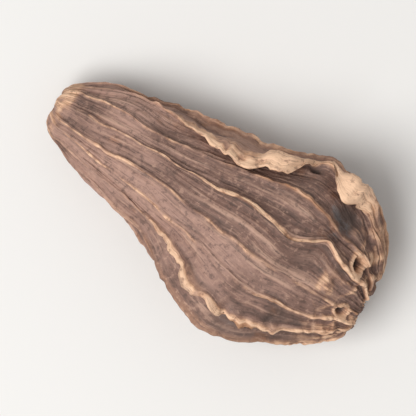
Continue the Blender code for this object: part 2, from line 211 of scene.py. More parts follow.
# Pits with raised rims: distance from the stalk end, degrees round, radius, depth and rim height.
PITS = (
    (32.5, 73.0, 0.62, 1.20, 0.60),
    (24.6, 21.0, 0.50, 0.80, 0.0),
    (29.6, 55.0, 2.00, 0.80, 0.0),
    (33.3, 111.0, 0.45, 0.60, 0.35),
    (26.2, 134.0, 1.30, 0.30, 0.0),
    (30.9, 98.5, 0.60, -0.45, 0.0),
)
RIM_PLACE, RIM_WIDTH = 1.45, 0.40
SHARE_TRIALS = 500
# Both ends are ragged over this length, by waves of a count round and a height. The stalk end has only this share.
END_LENGTH = 1.6
END_WAVES = ((5, 0.14), (8, 0.10))
STALK_END_SHARE = 0.3
# The steps that the body's slopes are measured over, and the length that stops a division by zero.
SLOPE_SHARE, SLOPE_DEGREES, SMALLEST_SLOPE = 0.002, 0.5, 1e-9


def curve_at(points, x):
    """The smooth curve through points, a row each with its place first, read at the places x."""
    table = np.array(points, float)
    places, values = table[:, 0], table[:, 1:]
    slopes = np.gradient(values, places, axis=0)
    x = np.clip(x, places[0], places[-1])
    left = np.clip(np.searchsorted(places, x, side="right") - 1, 0, len(places) - 2)
    span = (places[left + 1] - places[left])[:, None]
    s = (x[:, None] - places[left][:, None]) / span
    start = values[left] * (1 + 2 * s) * (1 - s) ** 2 + slopes[left] * span * s * (1 - s) ** 2
    end = values[left + 1] * s**2 * (3 - 2 * s) + slopes[left + 1] * span * s**2 * (s - 1)
    return start + end


def section_at(share):
    """The section at a share of the husk's line, with its values in the order that SECTIONS has."""
    table = np.array(SECTIONS)
    steps = np.hypot(ALONG_WEIGHT * np.diff(table[:, 0]), NARROWING_WEIGHT * np.diff(table[:, 1]))
    places = np.concatenate([[0.0], np.cumsum(steps)])
    return curve_at(np.column_stack([places, table]), share * places[-1])


def section_by_distance(distance):
    return curve_at([(row[0], *row) for row in SECTIONS if row[1] > OUTSIDE_HALF_WIDTH], distance)


def with_ends(points, value):
    return [(0.0, value), *points, (LENGTH, value)]


def make_ribs():
    """Every rib in order round the pod, with the phases of its waves."""
    rng = random.Random(SEED)
    first, last = SEEN_RIBS[0]["round"][0][1], SEEN_RIBS[-1]["round"][3][1]
    hidden = RIB_COUNT - len(SEEN_RIBS)
    step = (360 + first - last) / (hidden + 1)
    ribs = list(SEEN_RIBS)
    for n in range(hidden):
        angle = last + step * (n + 1)
        underside = UNDERSIDE[0] < angle < UNDERSIDE[1]
        heights = (UNDERSIDE_HEIGHT, UNDERSIDE_HEIGHT) if underside else HIDDEN_HEIGHTS
        leans = (0.0, 0.0) if underside else HIDDEN_LEANS
        ribs.append(
            {
                "round": [(d, angle + rng.uniform(-HIDDEN_DRIFT, HIDDEN_DRIFT)) for d in HIDDEN_PATH_PLACES],
                "height": with_ends([(d, rng.uniform(*heights)) for d in HIDDEN_HEIGHT_PLACES], END_HEIGHT),
                "lean": with_ends([(d, rng.uniform(*leans)) for d in HIDDEN_LEAN_PLACES], 0.0),
                "back": rng.uniform(*HIDDEN_FLANKS),
                "front": rng.uniform(*HIDDEN_FLANKS),
                "valley": rng.uniform(*HIDDEN_VALLEYS),
            }
        )
    for rib in ribs:
        rib["phases"] = [rng.uniform(0, math.tau) for _ in CREST_WAVE_LENGTHS]
    return ribs


RIBS = make_ribs()


def wave(distance, phases):
    waves = [np.sin(math.tau * distance / length + p) for length, p in zip(CREST_WAVE_LENGTHS, phases)]
    return sum(waves) / len(waves)


def crest_angle(k, distance):
    """Degrees round of rib k's foot. Rib 16 is rib 0 again, one turn on."""
    rib = RIBS[k % RIB_COUNT]
    if "above" in rib:
        within = np.clip(distance, RIBS_START, RIBS_END)
        _, half_width, _, centre, _ = section_by_distance(within).T
        across = (curve_at(rib["above"], within)[:, 0] - centre) / half_width
        across = np.clip(across, -FARTHEST_ACROSS, FARTHEST_ACROSS)
        angle = np.degrees(np.arccos(np.sign(across) * np.abs(across) ** (SECTION_SQUARENESS / 2)))
    else:
        angle = curve_at(rib["round"], distance)[:, 0]
    return angle + CREST_SWAY * wave(distance, rib["phases"][::-1]) + 360 * (k // RIB_COUNT)


def crest_height(k, distance):
    rib = RIBS[k % RIB_COUNT]
    return curve_at(rib["height"], distance)[:, 0] * (1 + CREST_WAVE_SHARE * wave(distance, rib["phases"]))


def crest_lean(k, distance):
    return curve_at(RIBS[k % RIB_COUNT]["lean"], distance)[:, 0]


def wing_bend(distance):
    """How far the wing's outer side swells out where it folds over."""
    return curve_at(WING["bend"], distance)[:, 0]


def per_rib(function, rib, distance):
    """function(k, distance) for points that belong to different ribs."""
    values = np.zeros(len(distance))
    for k in np.unique(rib):
        mine = rib == k
        values[mine] = function(int(k), distance[mine])
    return values


def worn_at(k, distance):
    """How worn rib k's crest is."""
    profiles = (*WORN_CRESTS, OTHER_WORN_CRESTS)
    return curve_at(profiles[min(k % RIB_COUNT, len(WORN_CRESTS))], distance)[:, 0]


def ramp(values, start, end):
    """From 0 at the start to 1 at the end, without a corner at either."""
    share = np.clip((values - start) / (end - start), 0, 1)
    return share * share * (3 - 2 * share)


def hill(values, middle, reach):
    """1 in the middle, and nearly nothing two reaches away."""
    return np.exp(-(((values - middle) / reach) ** 2))


def disc(reach):
    """Nearly even inside a reach of 1, and soon gone outside it."""
    return np.exp(-(reach**4))


def rounded(value):
    return np.sign(value) * np.abs(value) ** (2 / SECTION_SQUARENESS)


def body_point(share, degrees):
    """A point of the body without ribs."""
    d, half_width, half_thickness, across, above = section_at(share).T
    angle = np.radians(degrees)
    return np.column_stack(
        [d, across + half_width * rounded(np.cos(angle)), above + half_thickness * rounded(np.sin(angle))]
    )


def outward(share, degrees):
    """The unit vector that points out of the body, from the body's slope along and round."""
    ahead = body_point(np.clip(share + SLOPE_SHARE, 0, 1), degrees)
    behind = body_point(np.clip(share - SLOPE_SHARE, 0, 1), degrees)
    further = body_point(share, degrees + SLOPE_DEGREES)
    nearer = body_point(share, degrees - SLOPE_DEGREES)
    out = np.cross(further - nearer, ahead - behind)
    return out / np.maximum(np.linalg.norm(out, axis=1, keepdims=True), SMALLEST_SLOPE)


def share_of(distance):
    """The share of the husk's line at a distance from the stalk end, on the outside of the pod."""
    shares = np.linspace(0, 1, SHARE_TRIALS)
    there, half_width = section_at(shares)[:, :2].T
    miss = np.abs(there - distance) + LENGTH * (half_width < OUTSIDE_HALF_WIDTH)
    return shares[[np.argmin(miss)]]


def pit_reach(pit, body):
    """How far points are from the middle of a pit, in its radius."""
    distance, degrees, radius = pit[:3]
    apart = np.linalg.norm(body - body_point(share_of(distance), np.array([degrees])), axis=1)
    return apart / radius * (1 + PIT_UNEVENNESS * grain(body, *PIT_GRAIN))


def on_rim(reach):
    return hill(reach, RIM_PLACE, RIM_WIDTH)


def pits(body):
    """How far the pits and their rims move the husk in or out."""
    reaches = [pit_reach(pit, body) for pit in PITS]
    return sum(rim * on_rim(reach) - deep * hill(reach, 0, 1) for (*_, deep, rim), reach in zip(PITS, reaches))


def swellings(distance, degrees):
    angle = np.radians(degrees)
    return sum(
        high * np.sin(math.tau * distance / length + phase) * np.cos(count * angle + phase)
        for length, count, high, phase in SWELLINGS
    )


def ragged_ends(distance, degrees):
    to_end = np.minimum(distance, LENGTH - distance) / END_LENGTH
    angle = np.radians(degrees)
    share = np.where(distance < LENGTH / 2, STALK_END_SHARE, 1.0)
    return share * hill(to_end, 0, 1) * sum(high * np.sin(count * angle + count) for count, high in END_WAVES)


# Points are turned before the noise is read, because noise has faint lines along its own axes.
NOISE_ANGLES = (0.61, 0.93, 0.37)
NOISE_TURN = np.array(Euler(NOISE_ANGLES).to_matrix())


def grain(points, size, start):
    """Smooth unevenness between about -1 and 1, at points in millimetres, with lumps of that size."""
    return np.array([noise.noise(p) for p in (points @ NOISE_TURN / size + start).tolist()])


def mottled(level, *rows):
    """The level with noise on it. Each row names its points, then an amount, a size and a place in the noise."""
    return sum((amount * grain(noise_points[name], size, start) for name, amount, size, start in rows), level)


# Pits aren't quite round.
PIT_UNEVENNESS = 0.35
PIT_GRAIN = (1.1, 61.0)

# The husk's fibres run from end to end and crowd together where it narrows. Fibre points are (along, and two
# across), laid out so that a lump of noise is a streak that follows the ribs. The rings wider than this half width
# tell how they lie.
FIBRE_RADIUS = 10.0
FIBRE_STRETCH = 12.0
FIBRES_HALF_WIDTH = 4.0

# How much the crests fray: small changes of their height, as a share, and of their path, in degrees. The noise is
# stretched across the fibres, where lengths count as this share. Each row of it is an amount, a size and a place
# in the noise. Crests that aren't worn fray least, and some patches fray more.
FRAY_SHARE = 0.50
FRAY_DEGREES = 1.9
FRAY_STRETCH = 0.35
FRAY_GRAINS = ((1.0, 1.1, 5.0), (0.7, 0.5, 7.0))
SWAY_GRAIN = (1.6, 9.0)
LEAST_FRAY, WORN_FRAY, PATCHY_FRAY = 0.25, 0.75, 0.8
FRAY_PATCHES = (4.5, 17.0)

# Relief of the skin, in millimetres. Fine ridges run along the fibres, with grooves between them. Each row is the
# height, the size across the fibres, the place in the noise, and how much of the noise is ridge or groove.
FIBRE_STREAKS = (
    (0.105, 1.8, 11.0, 0.09),
    (0.085, 0.85, 23.0, 0.14),
    (0.055, 0.42, 37.0, 0.24),
    (-0.065, 1.4, 31.0, 0.08),
    (-0.050, 0.65, 47.0, 0.15),
)
# Shrinkage wrinkles run round the pod, across the fibres, and are this many times longer than wide.
CROSS_WRINKLES = (0.035, 0.7, 43.0)
CROSS_STRETCH = 3.5
# Broad wrinkles and small puckers have no direction. Each row is a height, a size and a place in the noise.
WRINKLES = ((0.06, 2.6, 53.0), (0.028, 0.9, 71.0))
# The skin is crumpled within this distance of the flower end, but not next to the rims of the pits, and it is
# partly crumpled on the knob.
CRUMPLE_LENGTH = 3.6
CRUMPLES = ((0.30, 1.7, 83.0), (0.12, 0.8, 97.0))
CRUMPLE_SHARPNESS = 2.2
NEXT_TO_RIM = 2.2
KNOB_REACH, KNOB_CRUMPLED = 1.6, 0.6
# The streaks are up to this share deeper there, where the skin is gathered in. They fade below this half width. On
# the rims of the pits and inside the end scars this much of them stays.
GATHERED = 1.0
STREAKS_HALF_WIDTH = 3.0
STREAKS_ON_RIMS = 0.3
STREAKS_IN_SCARS = 0.4
# Inside the stalk scar and the flower's collar the skin is lumpy, fully so below the first of these half widths.
SCAR_HALF_WIDTHS = (1.5, 3.3)
SCAR_LUMPS = (0.17, 0.75, 89.0)
# The relief follows the skin's normals after they have been softened so many times. Where the pleats crowd
# together, at both ends, this share of it stands straight out of the body, so that they don't cross there. It
# fades out at the two poles, below this half width.
NORMAL_SOFTENING = 12
STRAIGHT_OUT = 0.5
POLE_HALF_WIDTH = 0.6

# How worn and tan each crest that faces up is along its length, from 0 to 1, in the ribs' order, and then the
# others. The tan covers the top of a crest.
WORN_CRESTS = (
    ((0, 0.3), (12, 0.6), (17, 0.9), (24, 1.0), (29.5, 1.0), (30.8, 0.5), (32, 0.2), (34, 0.2)),
    ((0, 0.5), (5, 0.6), (10, 0.4), (19, 0.3), (22.5, 0.55), (28, 0.4), (33, 0.4)),
    ((0, 0.4), (6, 0.5), (11, 0.6), (15, 0.6), (17.5, 1.1), (33, 1.2)),
    ((0, 0.9), (6, 0.7), (9, 0.9), (13, 0.8), (17, 0.5), (24, 0.5), (28, 0.35), (33, 0.8)),
    ((0, 1.0), (6, 0.9), (10, 0.7), (15, 0.5), (24, 0.3), (25.8, 0.8), (27.5, 1.1), (29, 0.6), (33, 0.8)),
    ((0, 0.4), (12, 0.4), (14.5, 0.8), (17, 1.2), (20.8, 1.2), (21.5, 0.5), (22.2, 1.2), (29, 1.2), (33, 1.0)),
    ((0, 0.3), (14, 0.1), (22, 0.2), (27, 0.2), (33, 0.6)),
    ((0, 0.3), (14, 0.1), (24, 0.2), (33, 0.5)),
)
OTHER_WORN_CRESTS = ((0, 0.3), (12, 0.4), (25, 0.5), (35, 0.5))
TAN_FROM, TAN_FULL = 0.45, 1.0
# Tan spreads over the wing's outer side, past this share of the gap before the wing, so many millimetres from its
# edge by distance, and a little more of it lies on the edge itself.
WING_GAP = RIB_COUNT - 1
WING_TAN_FROM = 0.3
WING_TAN_WIDTH = (
    (0, 0.2), (15, 0.3), (19, 0.4), (20.8, 1.5), (24, 1.6), (26, 2.4), (29.5, 1.7), (31, 0.5), (33, 0.3),
)
WING_EDGE_TAN = 0.35
LEAST_HALF_WIDTH = 1.0
# Tan round the stalk scar: how much, and the distances and half widths where it starts and is full.
STALK_TAN, STALK_TAN_DISTANCES, STALK_TAN_HALF_WIDTHS = 0.9, (2.1, 0.6), (0.7, 1.7)
# Tan on the crumpled skin: how much, and the heights where it starts and is full.
CRUMPLE_TAN, CRUMPLE_TAN_HEIGHTS = 1.1, (0.18, 0.53)

# Painted shade in the pits, in the hollows under the folded wing and on the shaded lower flank, and scuffs that
# are worn to tan. Each row is a distance, the degrees round, a radius and a strength.
PAINTED_SHADOWS = (
    (28.4, 133.0, 1.20, 0.75),
    (30.2, 138.0, 0.80, 0.50),
    (31.3, 86.0, 0.65, 0.80),
    (27.9, 91.0, 1.20, 0.35),
    (33.3, 111.0, 0.45, 1.00),
    (32.5, 73.0, 0.55, 0.80),
    (31.2, 46.0, 1.30, 0.50),
    (29.6, 52.0, 1.60, 0.30),
    (24.6, 21.0, 0.60, 0.60),
)
SCUFFS = ((33.7, 41.0, 0.80, 1.2), (32.9, 145.0, 0.70, 1.0), (34.3, 118.0, 0.50, 0.9))
# Painted shade on the two gaps below the lower rib, the pod's lower flank: how much, and the distances where it
# starts and is full at either end.
LOWER_GAP = SEEN_RIBS.index(LOWER_RIB)
FLANK_SHADE, FLANK_SHADE_START, FLANK_SHADE_END = 0.45, (21, 25), (34, 32)
# Painted shade in the groove along the lower rib's upper foot: how much, the height on its flank, the reach there,
# and where it starts.
FOOT_SHADE, FOOT_SHADE_HEIGHT, FOOT_SHADE_START = 0.4, (0.25, 0.15), (16, 18)

# How dark or pale the skin is between each rib and the next; the dark tone of the gap below the lower rib is
# painted shade. Over this share of the gap its tone runs into its neighbour's.
SKIN_TONES = (-0.6, -1.5, -0.9, 0.5, 0.5, -1.3, -0.5, -0.5, 0.3, -0.2, 0.5, -0.6, 0.2, -0.3, 0.2, 1.2)
TONE_BLEND = 0.15
# The narrow end is paler and the broad end darker: how much, and the distances where that starts and is full. A
# dark band lies just past the stalk's rim, with its distance and reach, and a pale patch on the broad rib, with
# its place and reach in ribs and in distance.
NARROW_END_TONE, NARROW_END = 2.15, (16, 7)
BROAD_END_TONE, BROAD_END = -0.9, (25, 30)
DARK_BAND_TONE, DARK_BAND = -1.2, (3.1, 1.2)
PALE_PATCH_TONE, PALE_PATCH_TURN, PALE_PATCH_DISTANCE = 1.4, (4.0, 0.75), (15.0, 5.0)
# Skin that lies low gets painted shade. In these gaps it counts as higher by so much, up to these distances, so it
# gets less of it.
RAISED_GAPS = ((WING_GAP, 0.25, (27, 24)), (LOWER_GAP, 0.18, (25, 22)))
# Painted shade in a dark line along the foot of each worn crest, below its steep front flank: its height on the
# flank and its reach.
PAINTED_CREST_SHADE = (0.30, 0.16)

# Noise on the tan, the painted shade and the tone, each as mottled() reads it, and what the streaks add to the
# tan.
CREST_TAN_NOISE = (0.85, ("fibres", 0.5, 1.1, 131.0), ("fray", 0.9, 0.6, 137.0), ("body", 0.6, 2.2, 139.0))
WING_TAN_NOISE = (0.80, ("fibres", 0.7, 1.1, 141.0), ("body", 0.6, 1.3, 143.0))
RIM_TAN_NOISE = (1.2, ("body", 0.4, 0.6, 137.0))
KNOB_TAN_NOISE, KNOB_TAN_STREAKS = (0.15, ("body", 1.9, 0.7, 171.0)), 4.0
SCUFF_TAN_NOISE, SCUFF_TAN_STREAKS = (0.75, ("body", 0.9, 0.6, 167.0)), 3.0
PAINTED_SHADE_NOISE = (0.8, ("body", 0.5, 0.5, 163.0))
FOOT_SHADE_NOISE = (1.0, ("fray", 1.5, 1.4, 173.0))
TONE_NOISE = (("fibres", 0.6, 3.5, 151.0), ("body", 0.5, 5.0, 157.0))

ring, line = np.meshgrid(np.arange(RINGS + 1), np.arange(LINES), indexing="ij")
ring, line = ring.ravel(), line.ravel()
turn = line // len(STEP_PLACES) + np.array(STEP_PLACES)[line % len(STEP_PLACES)]
rib = np.floor(turn).astype(int) % RIB_COUNT
place = turn - np.floor(turn)

# The rings are evenly spaced along the outline, and closer round the pits near the flower end and at the stalk
# scar. Each row is how much closer, the distance there and its reach.
OUTLINE_TRIALS = 4000
OUTLINE_WIDTH_WEIGHT = 0.9
CLOSER_RINGS = ((0.9, 32.3, 2.5), (1.0, 0.0, 1.0))
trial = np.linspace(0, 1, OUTLINE_TRIALS)
trial_distance, trial_width = section_at(trial)[:, :2].T
outline_steps = np.hypot(np.diff(trial_distance), OUTLINE_WIDTH_WEIGHT * np.diff(trial_width))
outline_steps *= sum((much * hill(trial_distance[1:], middle, reach) for much, middle, reach in CLOSER_RINGS), 1)
outline = np.append(0, np.cumsum(outline_steps))
share = np.interp(ring / RINGS, outline / outline[-1], trial)
distance, half_width = section_at(share)[:, :2].T


def of_rib(name, k):
    """A rib's single value of that name, for points that belong to different ribs."""
    return np.array([each[name] for each in RIBS])[k % RIB_COUNT]


here, there = per_rib(crest_angle, rib, distance), per_rib(crest_angle, rib + 1, distance)
this_rib = np.exp(-((place / of_rib("front", rib)) ** CREST_SHARPNESS))
next_rib = np.exp(-(((1 - place) / of_rib("back", rib + 1)) ** CREST_SHARPNESS))
crest = np.maximum(this_rib, next_rib)
full = ramp(half_width, NO_RIBS_HALF_WIDTH, FULL_SIZE_HALF_WIDTH)
worn_here, worn_there = per_rib(worn_at, rib, distance), per_rib(worn_at, rib + 1, distance)
wear = np.maximum(worn_here * (place < 0.5), worn_there * (place > 0.5))


def near_crests(function):
    """function(k, distance) of the ribs before and after each point, as far as their crests reach."""
    return per_rib(function, rib, distance) * this_rib + per_rib(function, rib + 1, distance) * next_rib


def husk_points(fray, sway):
    """Every point of the husk, its body point and how high it stands, with that much fraying along the crests."""
    degrees = here + (there - here) * place + near_crests(crest_lean) + FRAY_DEGREES * sway * crest
    height = near_crests(crest_height) * (1 + FRAY_SHARE * fray)
    height += wing_bend(distance) * (rib == WING_GAP) * hill(1 - place, BEND_PLACE, BEND_WIDTH)
    height -= of_rib("valley", rib) * 4 * place * (1 - place)
    body = body_point(share, degrees)
    altitude = height * full + pits(body)
    height = (height + swellings(distance, degrees)) * full + pits(body)
    points = body + outward(share, degrees) * height[:, None]
    points[:, 0] += ragged_ends(distance, degrees)
    return points, body, altitude


# Fibres lie evenly over the husk's whole surface, so they are laid out by the length of skin from line to line.
skin = husk_points(0.0, 0.0)[0].reshape(RINGS + 1, LINES, 3)
wide_rings = half_width.reshape(RINGS + 1, LINES)[:, 0] > FIBRES_HALF_WIDTH
skin_steps = np.linalg.norm(np.roll(skin, -1, axis=1) - skin, axis=2)[wide_rings]
skin_places = np.append(0, np.cumsum(skin_steps.mean(axis=0)))
fibre_angle = (math.tau * skin_places[:-1] / skin_places[-1])[line]
fibre_points = np.column_stack(
    [distance / FIBRE_STRETCH, FIBRE_RADIUS * np.cos(fibre_angle), FIBRE_RADIUS * np.sin(fibre_angle)]
)
fray_points = np.column_stack([distance, FRAY_STRETCH * fibre_points[:, 1], FRAY_STRETCH * fibre_points[:, 2]])
fray = sum(amount * grain(fray_points, size, start) for amount, size, start in FRAY_GRAINS)
fray *= LEAST_FRAY + WORN_FRAY * wear + PATCHY_FRAY * np.clip(grain(fray_points, *FRAY_PATCHES), 0, 1)
points, body, altitude = husk_points(fray, grain(fray_points, *SWAY_GRAIN))
noise_points = {"fibres": fibre_points, "fray": fray_points, "body": body}

# The skin's fine relief, and how the two ends, the rims and the knob change it.
inside_end = 1 - ramp(half_width, *SCAR_HALF_WIDTHS)
rim_reaches = [pit_reach(pit, body) for pit in PITS if pit[4] > 0]
rims = sum(on_rim(reach) for reach in rim_reaches)
off_rims = 1 - np.clip(sum(disc(reach / NEXT_TO_RIM) for reach in rim_reaches), 0, 1)
knob = sum(hill(pit_reach(pit, body), 0, KNOB_REACH) for pit in PITS if pit[3] < 0)
crumpled = hill(np.maximum(LENGTH - distance, 0), 0, CRUMPLE_LENGTH) * (1 - inside_end)
crumpled = np.maximum(crumpled * off_rims, KNOB_CRUMPLED * knob)
crumples = sum(
    high * (1 - CRUMPLE_SHARPNESS * np.abs(grain(body, size, start))) for high, size, start in CRUMPLES
)
streaks = sum(
    high * hill(grain(fibre_points, size, start), 0, width) for high, size, start, width in FIBRE_STREAKS
)
streaks *= (
    ramp(half_width, 0, STREAKS_HALF_WIDTH)
    * (STREAKS_ON_RIMS + (1 - STREAKS_ON_RIMS) * off_rims)
    * (1 - (1 - STREAKS_IN_SCARS) * inside_end)
)
relief = streaks * (1 + GATHERED * crumpled)
cross_points = np.column_stack([distance, fibre_points[:, 1:] / CROSS_STRETCH])
relief += CROSS_WRINKLES[0] * grain(cross_points, *CROSS_WRINKLES[1:]) * full
for high, size, start in WRINKLES:
    relief += high * grain(body, size, start)
relief += crumples * crumpled
relief += SCAR_LUMPS[0] * grain(body, *SCAR_LUMPS[1:]) * inside_end

# How high each point lies, for its colour: painted shade and dust where it lies low, wear where it stands high.
altitude += relief - streaks
for gap, lift, limits in RAISED_GAPS:
    altitude += lift * (rib == gap) * ramp(distance, *limits)

# How tan each point is worn.
gap_width = np.radians(there - here) * np.maximum(half_width, LEAST_HALF_WIDTH)
wing_tan = disc((1 - place) * gap_width / curve_at(WING_TAN_WIDTH, distance)[:, 0]) * wear
wing_tan *= mottled(*WING_TAN_NOISE) + WING_EDGE_TAN * next_rib**4
stalk_tan = STALK_TAN * ramp(distance, *STALK_TAN_DISTANCES) * ramp(half_width, *STALK_TAN_HALF_WIDTHS)
tan = np.maximum(wear * ramp(crest, TAN_FROM, TAN_FULL), stalk_tan) * mottled(*CREST_TAN_NOISE)
tan = np.where((rib == WING_GAP) & (place > WING_TAN_FROM), np.maximum(tan, wing_tan), tan)
scuff = sum(worn * disc(pit_reach(spot, body)) for *spot, worn in SCUFFS)
for more_tan in (
    CRUMPLE_TAN * crumpled * ramp(crumples + streaks, *CRUMPLE_TAN_HEIGHTS),
    rims * mottled(*RIM_TAN_NOISE),
    knob * (mottled(*KNOB_TAN_NOISE) + KNOB_TAN_STREAKS * streaks),
    scuff * (mottled(*SCUFF_TAN_NOISE) + SCUFF_TAN_STREAKS * streaks),
):
    tan = np.maximum(tan, more_tan)

# How much painted shade it gets: in the pits and the hollows under the folds, on the lower flank, and in the
# groove along the lower rib's upper foot.
painted_shade = sum(dark * disc(pit_reach(spot, body)) for *spot, dark in PAINTED_SHADOWS) * mottled(*PAINTED_SHADE_NOISE)
low_flank = np.isin(rib, (LOWER_GAP, LOWER_GAP + 1))
painted_shade += FLANK_SHADE * low_flank * ramp(distance, *FLANK_SHADE_START) * ramp(distance, *FLANK_SHADE_END)
upper_foot = (rib == LOWER_GAP - 1) * hill(next_rib, *FOOT_SHADE_HEIGHT)
painted_shade += FOOT_SHADE * upper_foot * ramp(distance, *FOOT_SHADE_START) * mottled(*FOOT_SHADE_NOISE)

# How dark or pale its skin is.
gap_tones = np.array(SKIN_TONES)
tone = mottled(gap_tones[rib], *TONE_NOISE)
for neighbour, apart in ((rib - 1, place), ((rib + 1) % RIB_COUNT, 1 - place)):
    tone += 0.5 * (gap_tones[neighbour] - gap_tones[rib]) * np.clip(1 - apart / TONE_BLEND, 0, 1)
tone += NARROW_END_TONE * ramp(distance, *NARROW_END) + BROAD_END_TONE * ramp(distance, *BROAD_END)
tone += DARK_BAND_TONE * hill(distance, *DARK_BAND)
tone += PALE_PATCH_TONE * hill(turn, *PALE_PATCH_TURN) * hill(distance, *PALE_PATCH_DISTANCE)


def along_grid(values, step):
    """Neighbours that many rings or lines on, on the grid of rings and lines."""
    return np.roll(values, step[1], axis=1)[np.clip(np.arange(RINGS + 1) - step[0], 0, RINGS)]


def grid_normals(grid):
    ahead = along_grid(grid, (-1, 0)) - along_grid(grid, (1, 0))
    round_step = along_grid(grid, (0, -1)) - along_grid(grid, (0, 1))
    out = np.cross(round_step, ahead)
    return out / np.maximum(np.linalg.norm(out, axis=2, keepdims=True), SMALLEST_SLOPE)


def softened(grid, times):
    """The grid with each point moved to the middle of its neighbours, so many times."""
    for _ in range(times):
        grid = sum(along_grid(grid, step) for step in ((1, 0), (-1, 0), (0, 1), (0, -1))) / 4
    return grid


straight = STRAIGHT_OUT * np.clip(crumpled + inside_end, 0, 1)[:, None]
normals = softened(grid_normals(points.reshape(RINGS + 1, LINES, 3)), NORMAL_SOFTENING).reshape(-1, 3)
normals = normals * (1 - straight) + outward(share, here + (there - here) * place) * straight
normals /= np.maximum(np.linalg.norm(normals, axis=1, keepdims=True), SMALLEST_SLOPE)
points += normals * relief[:, None] * ramp(half_width, 0, POLE_HALF_WIDTH)[:, None]

# The piece is set where its solid is, and what would reach below the table is pressed flat on it.
box_low, box_high = (np.array(box_corner) / MM for box_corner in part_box("pod"))
points[:, :2] += (box_low + box_high)[:2] / 2 - (points[:, :2].min(axis=0) + points[:, :2].max(axis=0)) / 2
points[:, 2] += box_high[2] - points[:, 2].max()
points[:, 2] = np.maximum(points[:, 2], 0.0)

ball = bmesh.new()
bmesh.ops.create_uvsphere(ball, u_segments=LINES, v_segments=RINGS, radius=1.0)
mesh = bpy.data.meshes.new("husk")
ball.to_mesh(mesh)
ball.free()
corners = np.zeros(len(mesh.vertices) * 3)
mesh.vertices.foreach_get("co", corners)
corners = corners.reshape(-1, 3)
corner_ring = np.round(np.arccos(np.clip(corners[:, 2], -1, 1)) / math.pi * RINGS).astype(int)
corner_line = np.round(np.arctan2(corners[:, 1], corners[:, 0]) / math.tau * LINES).astype(int) % LINES
corner = corner_ring * LINES + corner_line
mesh.vertices.foreach_set("co", (points[corner] * MM).ravel())
mesh.flip_normals()
mesh.update()
mesh.shade_smooth()

husk = bpy.data.objects.new("husk", mesh)
bpy.context.scene.collection.objects.link(husk)

# Where the skin stands out and where it dips, in millimetres, and the rest that its colours follow.
for name, values in (
    ("altitude", altitude),
    ("streaks", streaks),
    ("crest", np.clip(tan, 0, 1)),
    ("tone", tone),
    ("painted_crest_shade", wear * hill(this_rib, *PAINTED_CREST_SHADE)),
    ("fibre_along", fibre_points[:, 0]),
    ("fibre_across", fibre_points[:, 1]),
    ("fibre_down", fibre_points[:, 2]),
    ("painted_shade", np.clip(painted_shade, 0, 1)),
):
    layer = mesh.attributes.new(name, "FLOAT", "POINT")
    layer.data.foreach_set("value", values[corner])

material = bpy.data.materials.new("dry_husk")
material.use_nodes = True
tree = material.node_tree
tree.nodes.clear()


def node(kind, **settings):
    made = tree.nodes.new(kind)
    for key, value in settings.items():
        setattr(made, key, value)
    return made


def feed(socket, value):
    """Sets a socket to a value, or links another socket to it."""
    if isinstance(value, (float, tuple)):
        socket.default_value = value
    else:
        tree.links.new(value, socket)


def attribute(name):
    return node("ShaderNodeAttribute", attribute_name=name).outputs["Fac"]


def math_node(operation, first, second, clamp=False):
    made = node("ShaderNodeMath", operation=operation, use_clamp=clamp)
    feed(made.inputs[0], first)
    feed(made.inputs[1], second)
    return made.outputs[0]


def product(value, *factors):
    for factor in factors:
        value = math_node("MULTIPLY", value, factor)
    return value


def between(value, start, full):
    """From 0 at the start to 1 where it is full, without a corner at either."""
    made = node("ShaderNodeMapRange", interpolation_type="SMOOTHSTEP")
    feed(made.inputs["Value"], value)
    feed(made.inputs["From Min"], start)
    feed(made.inputs["From Max"], full)
    return made.outputs["Result"]


def mixed(amount, first, second):
    """Two colours mixed. A Mix node's sockets for colours are its inputs 6 and 7 and its output 2."""
    made = node("ShaderNodeMix", data_type="RGBA")
    for n, value in ((0, amount), (6, first), (7, second)):
        feed(made.inputs[n], value)
    return made.outputs[2]


def layered(colour, *layers):
    """The colour with others over it. Each layer is where it lies, how much it covers, and its colour."""
    for where, amount, over in layers:
        colour = mixed(product(where, amount), colour, over)
    return colour


def noise_at(vector, scale, detail, roughness=0.55):
    made = node("ShaderNodeTexNoise")
    for name, value in (("Vector", vector), ("Scale", scale), ("Detail", detail), ("Roughness", roughness)):
        feed(made.inputs[name], value)
    return made.outputs["Fac"]


BROWN = (0.200, 0.112, 0.086, 1.0)
PALE_BROWN = (0.430, 0.260, 0.205, 1.0)
PALE_TAN = (0.560, 0.350, 0.260, 1.0)
TAN = (0.700, 0.410, 0.255, 1.0)
CREAM = (0.870, 0.570, 0.375, 1.0)
DARK = (0.055, 0.036, 0.030, 1.0)
GREY_DUST = (0.150, 0.158, 0.168, 1.0)
RUST = (0.340, 0.140, 0.060, 1.0)

fibre_vector = node("ShaderNodeCombineXYZ")
for socket, name in zip(fibre_vector.inputs, ("fibre_along", "fibre_across", "fibre_down")):
    feed(socket, attribute(name))
fibre_turn = node("ShaderNodeMapping")
fibre_turn.inputs["Rotation"].default_value = NOISE_ANGLES
feed(fibre_turn.inputs["Vector"], fibre_vector.outputs[0])
place_vector = node("ShaderNodeTexCoord").outputs["Object"]

broad_fibres = noise_at(fibre_turn.outputs[0], scale=1.3, detail=3.0)
fine_fibres = noise_at(fibre_turn.outputs[0], scale=4.5, detail=4.0, roughness=0.7)
blotches = noise_at(place_vector, scale=210.0, detail=4.0)
mottle = noise_at(place_vector, scale=1500.0, detail=4.0, roughness=0.7)
spots = noise_at(place_vector, scale=330.0, detail=2.0)
streak, height_here, crest_mask = attribute("streaks"), attribute("altitude"), attribute("crest")
